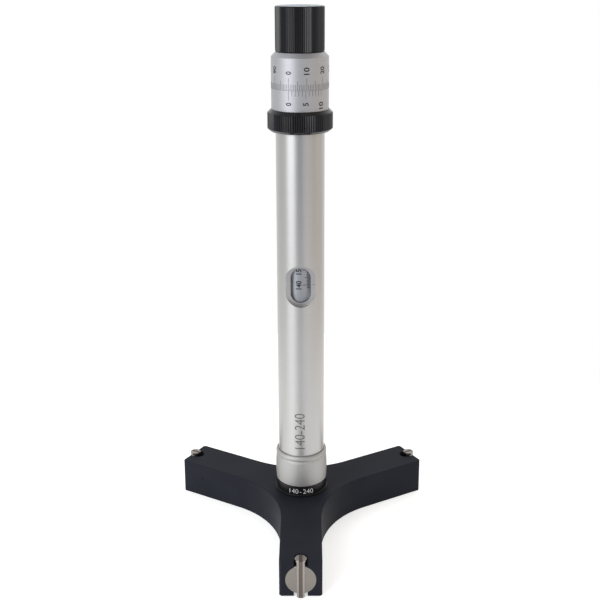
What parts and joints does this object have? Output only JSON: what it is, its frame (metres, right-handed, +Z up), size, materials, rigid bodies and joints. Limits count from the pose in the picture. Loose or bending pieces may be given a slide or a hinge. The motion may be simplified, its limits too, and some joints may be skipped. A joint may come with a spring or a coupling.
{
  "type": "inside micrometer",
  "caption": "Three-point inside micrometer on a tall column, with a thimble and vernier, a reading window and arms whose bars spread to meet a bore.",
  "frame": {"origin": "on the column axis at the underside of the measuring head", "axes": "+Z up the column to the knob, -Y along the arm in front of the reading window"},
  "size_m": [0.1274, 0.1123, 0.2589],
  "materials": {
    "black_anodised": "matt black anodised aluminium",
    "satin_aluminium": "satin clear anodised aluminium",
    "ground_steel": "fine ground hardened steel",
    "blackened_steel": "blackened steel screws",
    "bronze": "turned bronze"
  },
  "bodies": {
    "frame": {"measuring_head": "black_anodised", "column_base": "black_anodised", "base_screws": "blackened_steel", "lower_bush": "bronze", "collar": "satin_aluminium", "column_tube": "satin_aluminium", "upper_bush": "bronze", "screw_bush_1": "bronze", "screw_bush_2": "bronze", "screw_bush_3": "bronze", "guide_key_1": "ground_steel", "guide_key_2": "ground_steel", "guide_key_3": "ground_steel", "key_screw_1": "blackened_steel", "key_screw_2": "blackened_steel", "key_screw_3": "blackened_steel"},
    "spindle": {"drive_shaft": "ground_steel", "crown_gear": "ground_steel", "thimble": "satin_aluminium", "thimble_nut": "ground_steel", "friction_disc": "bronze", "disc_springs": "ground_steel", "knob_screw": "ground_steel"},
    "indicator": {"scale_sleeve": "satin_aluminium", "scale_nut": "bronze", "scale_key": "ground_steel"},
    "knob": {"knob": "black_anodised", "cap_disc": "black_anodised"},
    "lock_ring": {"lock_ring": "black_anodised"},
    "vernier": {"vernier_sleeve": "satin_aluminium"},
    "plunger_1": {"plunger_1": "ground_steel", "measuring_bar_1": "ground_steel"},
    "screw_1": {"drive_screw_1": "ground_steel", "bevel_pinion_1": "ground_steel"},
    "plunger_2": {"plunger_2": "ground_steel", "measuring_bar_2": "ground_steel"},
    "screw_2": {"drive_screw_2": "ground_steel", "bevel_pinion_2": "ground_steel"},
    "plunger_3": {"plunger_3": "ground_steel", "measuring_bar_3": "ground_steel"},
    "screw_3": {"drive_screw_3": "ground_steel", "bevel_pinion_3": "ground_steel"}
  },
  "joints": [
    {"name": "thimble_turn", "type": "hinge", "parent": "frame", "child": "spindle", "pos_m": [0, 0, 0.23], "axis": [0, 0, -1], "range_deg": [0, 36000]},
    {"name": "scale_travel", "type": "slide", "parent": "frame", "child": "indicator", "axis": [0, 0, -1], "range_m": [0, 0.075]},
    {"name": "knob_slip", "type": "hinge", "parent": "spindle", "child": "knob", "pos_m": [0, 0, 0.249], "axis": [0, 0, -1], "continuous": true},
    {"name": "lock_ring_turn", "type": "hinge", "parent": "frame", "child": "lock_ring", "pos_m": [0, 0, 0.2076], "axis": [0, 0, 1], "range_deg": [0, 60]},
    {"name": "vernier_zero_set", "type": "hinge", "parent": "frame", "child": "vernier", "pos_m": [0, 0, 0.2175], "axis": [0, 0, 1], "range_deg": [-15, 15]},
    {"name": "plunger_1_travel", "type": "slide", "parent": "frame", "child": "plunger_1", "axis": [0, -1, 0], "range_m": [0, 0.05]},
    {"name": "screw_1_turn", "type": "hinge", "parent": "frame", "child": "screw_1", "pos_m": [0, -0.04, 0.0084], "axis": [0, -1, 0], "continuous": true},
    {"name": "plunger_2_travel", "type": "slide", "parent": "frame", "child": "plunger_2", "axis": [0.866, 0.5, 0], "range_m": [0, 0.05]},
    {"name": "screw_2_turn", "type": "hinge", "parent": "frame", "child": "screw_2", "pos_m": [0.03464, 0.02, 0.0084], "axis": [0.866, 0.5, 0], "continuous": true},
    {"name": "plunger_3_travel", "type": "slide", "parent": "frame", "child": "plunger_3", "axis": [-0.866, 0.5, 0], "range_m": [0, 0.05]},
    {"name": "screw_3_turn", "type": "hinge", "parent": "frame", "child": "screw_3", "pos_m": [-0.03464, 0.02, 0.0084], "axis": [-0.866, 0.5, 0], "continuous": true}
  ],
  "couplings": [
    {"joint": "scale_travel", "follows": "thimble_turn", "m_per_rad": 0.00011937},
    {"joint": "plunger_1_travel", "follows": "thimble_turn", "m_per_rad": 0.000079577},
    {"joint": "screw_1_turn", "follows": "thimble_turn", "ratio": 1},
    {"joint": "plunger_2_travel", "follows": "thimble_turn", "m_per_rad": 0.000079577},
    {"joint": "screw_2_turn", "follows": "thimble_turn", "ratio": 1},
    {"joint": "plunger_3_travel", "follows": "thimble_turn", "m_per_rad": 0.000079577},
    {"joint": "screw_3_turn", "follows": "thimble_turn", "ratio": 1}
  ]
}
